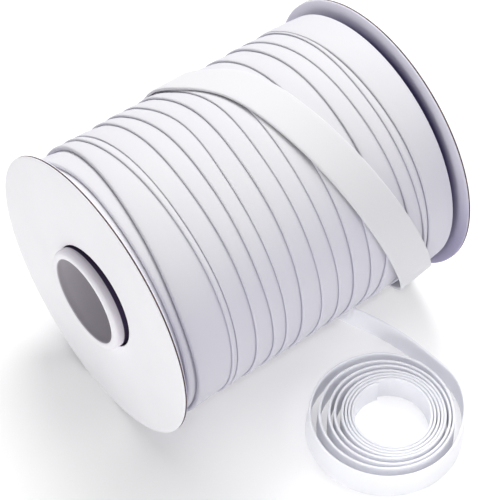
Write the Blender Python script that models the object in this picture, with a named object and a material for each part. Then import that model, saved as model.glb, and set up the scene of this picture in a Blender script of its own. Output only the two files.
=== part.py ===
"""Roll of bias tape on a cardboard spool, with a loose end coiled in front of it.

The spool lies on its side, its axis along X. The front flange, with the hub that the eye meets first,
is at -X, and the coil of loose tape lies on the surface at -Y. Units are metres, +Z is up, and the
origin is on the surface, under the middle of the whole thing.

Places are worked out first from the spool: x from the outer face of the front flange, y from the
spool's axis and z from the surface. Angles round the spool start at the top and grow towards -Y.
"""

import math

import bmesh
import bpy
import numpy as np

MM = 0.001
CLEARANCE = 0.0004
WELD = 0.00001
SHARP_ANGLE = math.radians(35)

# The cardboard flanges and the core tube.
FLANGE_RADIUS = 0.0490
FLANGE_THICKNESS = 0.0012
FLANGE_SIDES = 71
FLAT_HALF_ANGLE = math.radians(5)
SPOOL_LENGTH = 0.1138
AXIS_HEIGHT = FLANGE_RADIUS * math.cos(FLAT_HALF_ANGLE)
BORE_RADIUS = 0.0147
TUBE_RADIUS = 0.0176
HUB_REACH = 0.0032
LIP_ROUNDING = 0.0012
BORE_CHAMFER = 0.0004
TUBE_SIDES = 48
HOLE_RADIUS = 0.0196
HOLE_RISE = 0.0014
HOLE_FORWARD = 0.0008

# The tape as it lies on the roll, and as it is pressed flat in the loose end.
TAPE_WIDTH = 0.0130
TAPE_THICKNESS = 0.0010
LOOSE_WIDTH = 0.0098

# The winding. Its outermost turns overlap like shingles: each band's left edge lies on the band
# before it, and its right side runs down under the next one.
WINDING_START = FLANGE_THICKNESS + CLEARANCE
WINDING_END = 0.1092
WINDING_SIDES = 40
WINDING_TOP = 0.0462
SHINGLE_DROP = 0.0008
EDGE_SLANT = 0.00025
CROWN_PLACE = 0.4
CROWN_RISE = 0.0001
START_RADIUS = 0.0446
END_RADIUS = 0.0454
SNAP = 0.0002

# Where each band's left edge runs, in millimetres from the front flange, at these angles in degrees.
# Over the back, from the last angle to the first, each edge moves on to the next one's place.
EDGE_ANGLES = (-37, -12, 22, 50, 100)
BAND_EDGES = (
    # name, x at the five angles, height of the band's edge over WINDING_TOP
    ("under front flange", (1.6, 1.6, 1.6, 1.6, 1.6), -1.6),
    ("first", (3.0, 4.3, 3.6, 2.6, 2.6), -1.3),
    ("turning back", (12.0, 10.6, 7.5, 5.4, 6.5), 0.2),
    ("after turning", (17.8, 18.5, 19.0, 19.3, 18.8), 0.1),
    ("close pair", (20.5, 21.2, 21.3, 21.3, 21.0), -0.1),
    ("fifth", (28.9, 29.4, 28.5, 28.2, 28.4), 0.0),
    ("sixth", (34.2, 35.7, 34.8, 34.4, 35.2), 0.1),
    ("seventh", (40.0, 41.9, 40.3, 39.7, 40.0), 0.0),
    ("eighth", (46.9, 48.5, 47.3, 46.7, 46.2), 0.1),
    ("ninth", (52.0, 54.9, 54.0, 53.9, 53.9), 0.0),
    ("tenth", (60.0, 61.4, 60.6, 60.3, 60.8), -0.1),
    ("eleventh", (66.6, 68.0, 67.0, 66.7, 67.0), 0.0),
    ("twelfth", (73.3, 74.5, 74.3, 73.8, 73.6), 0.0),
    ("thirteenth", (81.8, 83.1, 82.6, 81.6, 79.0), 0.1),
    ("fourteenth", (87.5, 89.0, 89.5, 89.8, 89.5), 0.0),
    ("fifteenth", (94.2, 95.1, 94.8, 95.0, 95.6), -0.1),
    ("last", (96.3, 97.0, 97.6, 98.2, 97.6), 0.1),
)

# The turn that crosses the others on its way down to the right, and hangs loose below.
CROSSING_STEP = math.radians(7.5)
# angle in degrees, x of the left edge in mm, how far the left and right edges stand off in mm
CROSSING_ROUTE = (
    (-95, 50.4, 0.0, 0.0),
    (-60, 51.0, 0.0, 0.0),
    (-36, 51.6, 0.0, 0.0),
    (-11, 58.6, 0.0, 0.0),
    (20, 64.5, 0.0, 0.0),
    (51, 71.6, 0.0, 0.0),
    (87, 81.7, 0.3, 0.0),
    (108, 88.0, 2.0, 0.5),
    (126, 93.6, 2.8, 1.0),
    (150, 97.6, 1.0, 0.4),
    (172, 98.6, 0.1, 0.0),
    (212, 98.8, 0.0, 0.0),
)

# The loose end: flat under the roll, then twisted up on its edge along this line on the surface,
# in millimetres, x from the front flange and y from the spool's axis.
TAIL_LINE = (
    (73.6, 6.0),
    (74.4, -3.0),
    (76.6, -14.0),
    (79.8, -25.0),
    (84.0, -34.6),
    (87.2, -43.6),
    (89.4, -53.2),
    (90.4, -61.5),
)
TAIL_STEPS = 30
ROOT_HEIGHT = 0.0017
ROOT_DROPS_AT = (0.0010, -0.0120)
TWIST_FROM = -0.0070
TWIST_TO = -0.0310
TWIST_POWER = 1.8

# The coil. Each turn keeps its radius and moves in to the next one where the tail lies on it.
COIL_CENTRE = (0.0648, -0.0711)
COIL_START = math.radians(12)
COIL_STEP = math.radians(-7.5)
COIL_JOIN_RADIUS = 0.0270
COIL_SETTLE = math.radians(70)
MOVE_IN_FROM = math.radians(60)
MOVE_IN_OVER = math.radians(100)
BULGE_TOWARDS = math.radians(140)
LEAN_TOWARDS = math.radians(-160)
LEAN_ALL_ROUND = 0.6
COIL_TURNS = (
    # radius of the outer face, bulge to the left, how far the lower edge stands out, all in mm
    (24.7, 1.5, 1.2),
    (22.0, 1.1, 0.6),
    (19.8, 0.2, 0.2),
    (18.3, 0.0, 0.0),
    (16.8, -0.2, 0.0),
    (15.4, -0.3, 0.0),
    (14.0, -0.4, 0.0),
)
COIL_FULL_TURNS = 6.85

# Colours and finishes: colour, roughness.
WHITE_TAPE = ((0.88, 0.88, 0.91), 0.85)
WHITE_BOARD = ((0.90, 0.89, 0.92), 0.60)
WHITE_TUBE = ((0.86, 0.85, 0.88), 0.65)


def smooth_step(t):
    """A value that runs from 0 to 1 as t does, level at both ends."""
    t = np.clip(t, 0.0, 1.0)
    return t * t * (3 - 2 * t)


def smooth_curve(at, knots, values):
    """Values between the knots on a smooth curve through them, its slope that of the neighbours."""
    knots = np.asarray(knots, float)
    values = np.asarray(values, float)
    slopes = np.gradient(values, knots)
    i = np.clip(np.searchsorted(knots, at) - 1, 0, len(knots) - 2)
    span = knots[i + 1] - knots[i]
    t = (at - knots[i]) / span
    return (
        (2 * t**3 - 3 * t**2 + 1) * values[i]
        + (t**3 - 2 * t**2 + t) * span * slopes[i]
        + (3 * t**2 - 2 * t**3) * values[i + 1]
        + (t**3 - t**2) * span * slopes[i + 1]
    )


def new_material(name, finish):
    """A plain material with a colour and a roughness."""
    colour, roughness = finish
    material = bpy.data.materials.new(name)
    material.use_nodes = True
    shader = material.node_tree.nodes["Principled BSDF"]
    shader.inputs["Base Color"].default_value = (*colour, 1.0)
    shader.inputs["Roughness"].default_value = roughness
    shader.inputs["Metallic"].default_value = 0.0
    return material


def new_part(name, points, faces, place, material):
    """One closed object, its coincident points welded, its faces turned outwards."""
    mesh = bpy.data.meshes.new(name)
    mesh.from_pydata([tuple(p) for p in points], [], faces)
    body = bmesh.new()
    body.from_mesh(mesh)
    bmesh.ops.remove_doubles(body, verts=body.verts, dist=WELD)
    bmesh.ops.triangulate(body, faces=body.faces)
    bmesh.ops.recalc_face_normals(body, faces=body.faces)
    body.to_mesh(mesh)
    body.free()
    mesh.shade_smooth()
    mesh.set_sharp_from_angle(angle=SHARP_ANGLE)
    mesh.materials.append(material)
    part = bpy.data.objects.new(name, mesh)
    part.location = place
    bpy.context.scene.collection.objects.link(part)
    return part


def ring_faces(rows, columns, closed_rows, closed_columns):
    """Quads between the points of a grid, which may close on itself either way."""
    faces = []
    for i in range(rows if closed_rows else rows - 1):
        for j in range(columns if closed_columns else columns - 1):
            k, m = (i + 1) % rows, (j + 1) % columns
            faces.append((i * columns + j, i * columns + m, k * columns + m, k * columns + j))
    return faces


def round_the_axis(x, radius, angle):
    """The point at this place along the spool's axis, this far from it, at this angle."""
    return np.stack([x, -radius * np.sin(angle), AXIS_HEIGHT + radius * np.cos(angle)], axis=-1)


def build_flange(name, outer_face_x, place, material):
    """A board disc with a flat spot to rest on and a hole a little larger than the tube."""
    rim = np.linspace(FLAT_HALF_ANGLE - math.pi, math.pi - FLAT_HALF_ANGLE, FLANGE_SIDES)
    loops = []
    for x, is_hole in (
        (outer_face_x, False),
        (outer_face_x + FLANGE_THICKNESS, False),
        (outer_face_x + FLANGE_THICKNESS, True),
        (outer_face_x, True),
    ):
        radius = HOLE_RADIUS if is_hole else FLANGE_RADIUS
        loop = round_the_axis(np.full_like(rim, x), np.full_like(rim, radius), rim)
        if is_hole:
            loop += (0, -HOLE_FORWARD, HOLE_RISE)
        loops.append(loop)
    points = np.concatenate(loops)
    return new_part(name, points, ring_faces(4, FLANGE_SIDES, True, True), place, material)


def build_core_tube(place, material):
    """The tube through both flanges, its ends rounded where they stand out as hubs."""
    front, back = -HUB_REACH, SPOOL_LENGTH + HUB_REACH
    lip = LIP_ROUNDING
    profile = [(front + BORE_CHAMFER, BORE_RADIUS), (front, BORE_RADIUS + BORE_CHAMFER)]
    for turn in (0, 30, 60, 90):
        a = math.radians(turn)
        profile.append((front + lip * (1 - math.cos(a)), TUBE_RADIUS - lip * (1 - math.sin(a))))
    profile += [(back + front - x, r) for x, r in reversed(profile)]
    x = np.array([p[0] for p in profile])
    radius = np.array([p[1] for p in profile])
    turns = np.radians(np.arange(TUBE_SIDES) * 360 / TUBE_SIDES)
    rows = [round_the_axis(x, radius, np.full_like(x, a)) for a in turns]
    faces = ring_faces(TUBE_SIDES, len(profile), True, True)
    return new_part("core_tube", np.concatenate(rows), faces, place, material)


def edge_places(degrees):
    """Where each band's left edge is at this angle, and how high it stands, both in metres."""
    starts = np.array([row[1] for row in BAND_EDGES]) * MM
    heights = WINDING_TOP + np.array([row[2] for row in BAND_EDGES]) * MM
    last_angle, next_start = EDGE_ANGLES[-1], EDGE_ANGLES[0] + 360
    ahead = np.append(starts[1:, 0], WINDING_END)
    heights_ahead = np.append(heights[1:], END_RADIUS)
    if degrees <= last_angle:
        return np.array([smooth_curve(degrees, EDGE_ANGLES, row) for row in starts]), heights
    t = smooth_step((degrees - last_angle) / (next_start - last_angle))
    return starts[:, -1] * (1 - t) + ahead * t, heights * (1 - t) + heights_ahead * t


def winding_section(degrees):
    """One section of the winding's outside, as (x, radius) from the front end to the rear one."""
    edges, heights = edge_places(degrees)
    edges = np.concatenate([[WINDING_START], edges, [WINDING_END]])
    heights = np.concatenate([[START_RADIUS], heights, [END_RADIUS]])
    section = [(WINDING_START, START_RADIUS)]
    for k in range(len(edges) - 1):
        x, following = edges[k], edges[k + 1]
        before = heights[k - 1] - SHINGLE_DROP if k else START_RADIUS
        crown = x + CROWN_PLACE * (following - x)
        section.append((x, before))
        section.append((min(x + EDGE_SLANT, crown), heights[k]))
        section.append((crown, heights[k] - CROWN_PLACE * SHINGLE_DROP + CROWN_RISE))
    section.append((WINDING_END, END_RADIUS))
    snapped = []
    for x, radius in section:
        if x < WINDING_START + SNAP:
            x, radius = WINDING_START, START_RADIUS
        elif x > WINDING_END - SNAP:
            x, radius = WINDING_END, END_RADIUS
        snapped.append((x, radius))
    return snapped


def build_wound_tape(place, material):
    """The wound tape as one hollow solid: shingled bands outside, the tube's clearance inside."""
    inside = TUBE_RADIUS + CLEARANCE
    points = []
    for i in range(WINDING_SIDES + 1):
        degrees = EDGE_ANGLES[0] + 360 * i / WINDING_SIDES
        section = [(WINDING_START, inside), *winding_section(degrees), (WINDING_END, inside)]
        x = np.array([p[0] for p in section])
        radius = np.array([p[1] for p in section])
        points.append(round_the_axis(x, radius, np.full_like(x, math.radians(degrees))))
    faces = ring_faces(WINDING_SIDES + 1, len(points[0]), False, True)
    return new_part("wound_tape", np.concatenate(points), faces, place, material)


def ribbon_faces(stations):
    """Sides and two ends of a ribbon whose stations have four corners each."""
    faces = ring_faces(stations, 4, False, True)
    faces.append((0, 1, 2, 3))
    last = 4 * (stations - 1)
    faces.append((last + 3, last + 2, last + 1, last))
    return faces


def build_crossing_turn(place, material):
    """The turn that lies across the others: a ribbon bent round the roll, loose at the bottom."""
    route = np.array(CROSSING_ROUTE, float)
    angles = np.arange(math.radians(route[0, 0]), math.radians(route[-1, 0]) + 1e-6, CROSSING_STEP)
    knots = np.radians(route[:, 0])
    left = smooth_curve(angles, knots, route[:, 1] * MM)
    stand_off = [smooth_curve(angles, knots, route[:, c] * MM).clip(0) for c in (2, 3)]
    slope = np.gradient(left, angles) / WINDING_TOP
    wide = TAPE_WIDTH * np.sqrt(1 + slope**2)
    underside = WINDING_TOP + max(row[2] for row in BAND_EDGES) * MM + CLEARANCE
    corners = []
    for x, out in ((left, stand_off[0]), (left + wide, stand_off[1])):
        corners.append(round_the_axis(x, underside + out, angles))
        corners.append(round_the_axis(x, underside + out + TAPE_THICKNESS, angles))
    order = np.stack([corners[0], corners[1], corners[3], corners[2]], axis=1)
    faces = ribbon_faces(len(angles))
    return new_part("crossing_turn", order.reshape(-1, 3), faces, place, material)


def tail_stations():
    """The loose end from under the roll to the coil: points on its low edge, and its tilt."""
    line = np.array(TAIL_LINE) * MM
    along = np.concatenate([[0], np.cumsum(np.hypot(*np.diff(line, axis=0).T))])
    at = np.linspace(0, along[-1], TAIL_STEPS)
    x, y = (smooth_curve(at, along, line[:, c]) for c in (0, 1))
    twist = np.clip((TWIST_FROM - y) / (TWIST_FROM - TWIST_TO), 0, 1) ** TWIST_POWER
    drop = smooth_step((ROOT_DROPS_AT[0] - y) / (ROOT_DROPS_AT[0] - ROOT_DROPS_AT[1]))
    resting = TAPE_THICKNESS / 2 * np.cos(twist * math.pi / 2)
    height = ROOT_HEIGHT * (1 - drop) + resting * drop
    return x, y, height, twist * math.pi / 2


def coil_turn_value(angle, column):
    """A turn's value from COIL_TURNS at this unwound angle, moving in where the tail lies on it."""
    values = [row[column] * MM for row in COIL_TURNS]
    turned = (MOVE_IN_FROM - angle) / (2 * math.pi)
    turn = int(turned)
    share = smooth_step((turned - turn) * 2 * math.pi / MOVE_IN_OVER)
    before = values[max(0, min(turn - 1, len(values) - 1))]
    after = values[max(0, min(turn, len(values) - 1))]
    return before * (1 - share) + after * share


def coil_stations():
    """The coil from the tail inwards: angle, radius of the tape's middle, and lean of its low edge."""
    total = COIL_FULL_TURNS * 2 * math.pi
    steps = int(total / -COIL_STEP)
    angles = COIL_START + COIL_STEP * np.arange(1, steps + 1)
    radii, leans = [], []
    for angle in angles:
        radius = coil_turn_value(angle, 0)
        radius += coil_turn_value(angle, 1) * math.cos(angle - BULGE_TOWARDS)
        settled = smooth_step((COIL_START - angle) / COIL_SETTLE)
        radius = COIL_JOIN_RADIUS * (1 - settled) + radius * settled
        radii.append(radius - TAPE_THICKNESS / 2)
        sway = (1 - LEAN_ALL_ROUND) * math.cos(angle - LEAN_TOWARDS)
        leans.append(coil_turn_value(angle, 2) * (LEAN_ALL_ROUND + sway) * settled)
    return angles, np.array(radii), np.array(leans)


def loose_end_corners():
    """The four corners of the loose end at each station, from the root to the coil's inner end."""
    x, y, height, tilt = tail_stations()
    angles, radii, leans = coil_stations()
    upright = np.array([0.0, 0.0, 1.0])
    outwards = np.stack([np.cos(angles), np.sin(angles), np.zeros_like(angles)], axis=-1)
    coil_low = np.array([*COIL_CENTRE, 0.0]) + outwards * (radii + leans)[:, None]
    low = np.concatenate([np.stack([x, y, height], axis=-1), coil_low])
    heading = np.gradient(low, axis=0) * (1, 1, 0)
    heading /= np.linalg.norm(heading, axis=1)[:, None]
    to_the_side = np.cross(upright, heading)[: len(x)]
    tail_up = to_the_side * np.cos(tilt)[:, None] + upright * np.sin(tilt)[:, None]
    lean = np.arcsin(leans / LOOSE_WIDTH)[:, None]
    coil_up = upright * np.cos(lean) - outwards * np.sin(lean)
    up = np.concatenate([tail_up, coil_up])
    half = np.cross(heading, up) * TAPE_THICKNESS / 2
    top = low + up * LOOSE_WIDTH
    corners = np.stack([low - half, low + half, top + half, top - half], axis=1)
    corners[len(x):, :2, 2] = 0.0
    return corners


def build_loose_end(place, material):
    """The loose end as one ribbon: flat under the roll, up on its edge, then coiled."""
    corners = loose_end_corners()
    return new_part(
        "loose_end", corners.reshape(-1, 3), ribbon_faces(len(corners)), place, material
    )


def main():
    """Clear the file and build every piece, with the origin under the middle of them all."""
    for old in list(bpy.data.objects):
        bpy.data.objects.remove(old)
    front_reach = loose_end_corners()[:, :, 1].min()
    place = (-SPOOL_LENGTH / 2, -(front_reach + FLANGE_RADIUS) / 2, 0.0)
    tape = new_material("white_tape", WHITE_TAPE)
    board = new_material("white_board", WHITE_BOARD)
    tube = new_material("white_tube", WHITE_TUBE)
    build_core_tube(place, tube)
    build_flange("front_flange", 0.0, place, board)
    build_flange("rear_flange", SPOOL_LENGTH - FLANGE_THICKNESS, place, board)
    build_wound_tape(place, tape)
    build_crossing_turn(place, tape)
    build_loose_end(place, tape)


main()
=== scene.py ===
"""Looks for the roll of bias tape: white tape wound in overlapping bands on a cardboard spool, one
turn that crosses the others, and the loose end coiled on its edge in front.

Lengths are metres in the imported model's frame. Places are worked out first from the spool: x from the
outer face of the front flange, y from the spool's axis and z from the surface. Angles round the spool
start at the top and grow towards the coil.
"""

import logging
import math
from collections.abc import Sequence
from dataclasses import dataclass, field
from enum import Enum

import bmesh
import bpy
import numpy as np
from mathutils import Matrix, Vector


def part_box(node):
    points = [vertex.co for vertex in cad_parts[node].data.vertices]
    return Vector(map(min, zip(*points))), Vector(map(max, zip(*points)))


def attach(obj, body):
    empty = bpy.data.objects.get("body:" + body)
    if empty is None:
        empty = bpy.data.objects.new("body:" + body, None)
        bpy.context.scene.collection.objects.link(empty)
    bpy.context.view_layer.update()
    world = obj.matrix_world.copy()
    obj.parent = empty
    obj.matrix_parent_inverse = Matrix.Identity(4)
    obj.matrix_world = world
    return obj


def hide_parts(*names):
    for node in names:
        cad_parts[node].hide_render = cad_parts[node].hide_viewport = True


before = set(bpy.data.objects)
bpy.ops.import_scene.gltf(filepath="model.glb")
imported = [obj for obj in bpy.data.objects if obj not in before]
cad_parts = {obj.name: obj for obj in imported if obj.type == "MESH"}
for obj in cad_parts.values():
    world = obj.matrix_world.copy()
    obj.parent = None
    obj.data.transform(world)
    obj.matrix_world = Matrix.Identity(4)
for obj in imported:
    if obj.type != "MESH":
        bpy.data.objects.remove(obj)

# a colour's red, green and blue, a point's x, y and z, or the three numbers of a sine
Triple = tuple[float, float, float]

LOG = logging.getLogger("bias_tape_roll")
MM = 0.001
WELD = 0.0000005
SHARP_ANGLE = math.radians(40)
FLANGE_LOW, FLANGE_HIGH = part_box("front_flange")
PLACE = np.array([FLANGE_LOW.x, (FLANGE_LOW.y + FLANGE_HIGH.y) / 2, 0.0])
FLANGE_RADIUS = (FLANGE_HIGH.y - FLANGE_LOW.y) / 2
FLAT_HALF_ANGLE = math.radians(5)
AXIS_HEIGHT = FLANGE_RADIUS * math.cos(FLAT_HALF_ANGLE)
SPOOL_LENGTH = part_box("rear_flange")[1].x - FLANGE_LOW.x


def smooth_step(t: np.ndarray) -> np.ndarray:
    """A value that runs from 0 to 1 as t does, level at both ends: 3t squared less 2t cubed."""
    t = np.clip(t, 0.0, 1.0)
    return t * t * (3 - 2 * t)


def smooth_curve(at: np.ndarray, knots: Sequence[float], values: Sequence[float]) -> np.ndarray:
    """Values between the knots on a smooth curve through them.

    Each span is the cubic that has the knots' values and the slopes of their neighbours' chords.

    Args:
        at: where the values are wanted.
        knots: the places of the known values, growing.
        values: the known values.

    Returns:
        One value for each place.
    """
    knots = np.asarray(knots, float)
    values = np.asarray(values, float)
    slopes = np.gradient(values, knots)
    i = np.clip(np.searchsorted(knots, at) - 1, 0, len(knots) - 2)
    span = knots[i + 1] - knots[i]
    t = (at - knots[i]) / span
    return (
        (2 * t**3 - 3 * t**2 + 1) * values[i]
        + (t**3 - 2 * t**2 + t) * span * slopes[i]
        + (3 * t**2 - 2 * t**3) * values[i + 1]
        + (t**3 - t**2) * span * slopes[i + 1]
    )


def waves(at: np.ndarray, sines: Sequence[Triple]) -> np.ndarray:
    """A sum of sines of these places, each given by its height, its pace and where it starts."""
    return sum(height * np.sin(at * pace + start) for height, pace, start in sines)


def round_the_axis(x: np.ndarray, radius: np.ndarray, angle: np.ndarray) -> np.ndarray:
    """Points at these places along the spool's axis, this far from it, at these angles.

    y is minus the radius times the angle's sine, and z is the axis' height plus the radius times its
    cosine.

    Args:
        x: places along the axis.
        radius: distances from the axis.
        angle: angles from the top, in radians.

    Returns:
        Points, with a last dimension of three.
    """
    x, radius, angle = np.broadcast_arrays(x, radius, angle)
    return np.stack([x, -radius * np.sin(angle), AXIS_HEIGHT + radius * np.cos(angle)], axis=-1)


def add_to_scene(name: str, data: bpy.types.ID) -> bpy.types.Object:
    """A new object with this mesh, light or camera, in the scene.

    Args:
        name: the object's name.
        data: what it holds.

    Returns:
        The object.
    """
    made = bpy.data.objects.new(name, data)
    bpy.context.scene.collection.objects.link(made)
    return made


@dataclass
class Surface:
    """One patch of a piece: a grid of points, and what each point carries.

    Attributes:
        points: rows by columns by three.
        across: the tape's own lengths at each point, along and across, in metres.
        marks: named values at each point, which a finish reads.
        finish: which of the piece's materials it has.
        closed_ends: whether its first and last rows are filled.
    """

    points: np.ndarray
    across: np.ndarray | None = None
    marks: dict[str, np.ndarray] = field(default_factory=dict)
    finish: int = 0
    closed_ends: bool = False

    def faces(self, first: int) -> list[list[int]]:
        """Quads between neighbouring rows and columns, and the filled ends.

        Args:
            first: the number of the patch's first point in the whole piece.

        Returns:
            The corners of each face.
        """
        rows, columns = self.points.shape[:2]
        at = first + np.arange(rows * columns).reshape(rows, columns)
        quads = np.stack([at[:-1, :-1], at[:-1, 1:], at[1:, 1:], at[1:, :-1]], axis=-1)
        found = quads.reshape(-1, 4).tolist()
        if self.closed_ends:
            found.append(at[0, :-1].tolist())
            found.append(at[-1, -2::-1].tolist())
        return found


def build_piece(
    name: str,
    patches: Sequence[Surface],
    finishes: Sequence[bpy.types.Material],
) -> bpy.types.Object:
    """One closed piece from its patches, welded where they meet, its faces turned outwards.

    Args:
        name: the piece's name.
        patches: its surfaces, in the spool's own lengths.
        finishes: its materials.

    Returns:
        The piece, which rides on the spool.
    """
    points = np.concatenate([p.points.reshape(-1, 3) for p in patches]) + PLACE
    faces: list[list[int]] = []
    kinds: list[int] = []
    first = 0
    for patch in patches:
        found = patch.faces(first)
        faces += found
        kinds += [patch.finish] * len(found)
        first += patch.points.shape[0] * patch.points.shape[1]
    mesh = bpy.data.meshes.new(name)
    mesh.from_pydata(points.tolist(), [], faces)
    mesh.polygons.foreach_set("material_index", kinds)
    corners = np.concatenate([np.asarray(f) for f in faces])
    lengths = [
        np.zeros(p.points.shape[:2] + (2,)) if p.across is None else p.across for p in patches
    ]
    layer = mesh.uv_layers.new(name="tape_lengths")
    layer.data.foreach_set("uv", np.concatenate([u.reshape(-1, 2) for u in lengths])[corners].ravel())
    for mark in sorted({m for p in patches for m in p.marks}):
        values = [p.marks.get(mark, np.zeros(p.points.shape[:2])).ravel() for p in patches]
        attribute = mesh.attributes.new(mark, "FLOAT", "POINT")
        attribute.data.foreach_set("value", np.concatenate(values).astype(np.float32))
    body = bmesh.new()
    body.from_mesh(mesh)
    bmesh.ops.remove_doubles(body, verts=body.verts, dist=WELD)
    bmesh.ops.dissolve_degenerate(body, edges=body.edges, dist=WELD)
    bmesh.ops.recalc_face_normals(body, faces=body.faces)
    body.to_mesh(mesh)
    body.free()
    mesh.shade_smooth()
    mesh.set_sharp_from_angle(angle=SHARP_ANGLE)
    for finish in finishes:
        mesh.materials.append(finish)
    piece = add_to_scene(name, mesh)
    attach(piece, "root")
    LOG.info("%s: %d faces", name, len(mesh.polygons))
    return piece


class Signal:
    """A number that varies over a surface; arithmetic on it adds Math nodes."""

    def __init__(self, board: "NodeBoard", socket: bpy.types.NodeSocket) -> None:
        """Keep the node board and the socket that gives the number."""
        self.board = board
        self.socket = socket

    def combine(self, operation: str, *values: "Signal | float") -> "Signal":
        """The result of a Math node's operation on these values, in their order."""
        inputs = dict(enumerate(values))
        return self.board.node("ShaderNodeMath", {"operation": operation}, inputs)

    def __add__(self, other: "Signal | float") -> "Signal":
        """The sum."""
        return self.combine("ADD", self, other)

    __radd__ = __add__

    def __sub__(self, other: "Signal | float") -> "Signal":
        """The difference."""
        return self.combine("SUBTRACT", self, other)

    def __rsub__(self, other: "Signal | float") -> "Signal":
        """The difference, the other way round."""
        return self.combine("SUBTRACT", other, self)

    def __mul__(self, other: "Signal | float") -> "Signal":
        """The product."""
        return self.combine("MULTIPLY", self, other)

    __rmul__ = __mul__

    def __pow__(self, other: "Signal | float") -> "Signal":
        """The power."""
        return self.combine("POWER", self, other)

    def sine(self) -> "Signal":
        """Its sine."""
        return self.combine("SINE", self)

    def distance(self, other: "Signal") -> "Signal":
        """The length whose two sides are this number and the other."""
        return (self * self + other * other) ** 0.5

    def ramp(self, low: float, high: float) -> "Signal":
        """A smooth ramp, level outside its ends; it falls where low is the higher of the two.

        Args:
            low: where it is 0.
            high: where it is 1.

        Returns:
            The ramp's value.
        """
        settings = {"interpolation_type": "SMOOTHSTEP"}
        inputs = {"Value": self, "From Min": min(low, high), "From Max": max(low, high)}
        found = self.board.node("ShaderNodeMapRange", settings, inputs)
        return found if low <= high else 1 - found


class NodeBoard:
    """A material's nodes, with its one Principled shader."""

    def __init__(self, name: str) -> None:
        """Make the material that these nodes belong to.

        Args:
            name: the material's name.
        """
        self.material = bpy.data.materials.new(name)
        self.material.use_nodes = True
        self.tree = self.material.node_tree
        self.shader = self.tree.nodes["Principled BSDF"]

    def feed(self, socket: bpy.types.NodeSocket, value: object) -> None:
        """Link a signal to the socket, or set the socket's own value.

        Args:
            socket: the input to feed.
            value: a signal, a number, a vector or a colour of three.
        """
        if isinstance(value, Signal):
            self.tree.links.new(value.socket, socket)
        elif socket.type == "RGBA":
            socket.default_value = (*value, 1.0)
        else:
            socket.default_value = value

    def node(
        self,
        kind: str,
        settings: dict[str, object] | None = None,
        inputs: dict[str | int, object] | None = None,
        output: str | int = 0,
    ) -> Signal:
        """One node of any type, with its settings made first and then its sockets fed.

        Args:
            kind: the node's type.
            settings: its own settings.
            inputs: values or signals by the socket's name or number.
            output: which output is wanted.

        Returns:
            That output.
        """
        made = self.tree.nodes.new(kind)
        for key, value in (settings or {}).items():
            setattr(made, key, value)
        for key, value in (inputs or {}).items():
            self.feed(made.inputs[key], value)
        return Signal(self, made.outputs[output])

    def mix(self, share: "Signal | float", first: object, second: object) -> Signal:
        """A colour between two, the second where the share is 1."""
        inputs = {0: share, 6: first, 7: second}
        return self.node("ShaderNodeMix", {"data_type": "RGBA", "clamp_factor": True}, inputs, 2)

    def place(self) -> Signal:
        """The point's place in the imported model's frame."""
        return self.node("ShaderNodeTexCoord", output="Object")

    def part_of(self, vector: Signal, axis: str) -> Signal:
        """One part of a vector, X, Y or Z."""
        return self.node("ShaderNodeSeparateXYZ", None, {0: vector}, axis)

    def from_axis(self) -> Signal:
        """How far the point is from the spool's axis.

        Returns:
            The distance in metres.
        """
        place = self.place()
        across = self.part_of(place, "Y") - float(PLACE[1])
        return across.distance(self.part_of(place, "Z") - AXIS_HEIGHT)

    def mark(self, name: str) -> Signal:
        """A named value that the piece's points carry."""
        return self.node("ShaderNodeAttribute", {"attribute_name": name}, None, "Fac")

    def cloud(self, scale: float, detail: float, vector: Signal | None = None) -> Signal:
        """Soft noise from 0 to 1, of this many lumps a metre."""
        inputs = {"Vector": vector or self.place(), "Scale": scale, "Detail": detail}
        return self.node("ShaderNodeTexNoise", None, inputs, "Fac")

    def bump(self, height: Signal, depth: float, strength: float = 1.0) -> Signal:
        """A normal that follows a height of 0 to 1 times this depth in metres."""
        inputs = {"Height": height, "Distance": depth, "Strength": strength}
        return self.node("ShaderNodeBump", None, inputs)

    def finish(self, **sockets: object) -> bpy.types.Material:
        """Feed the shader's sockets.

        Args:
            sockets: values or signals by the socket's name, with underscores for spaces.

        Returns:
            The material.
        """
        for key, value in sockets.items():
            self.feed(self.shader.inputs[key.replace("_", " ")], value)
        return self.material


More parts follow.
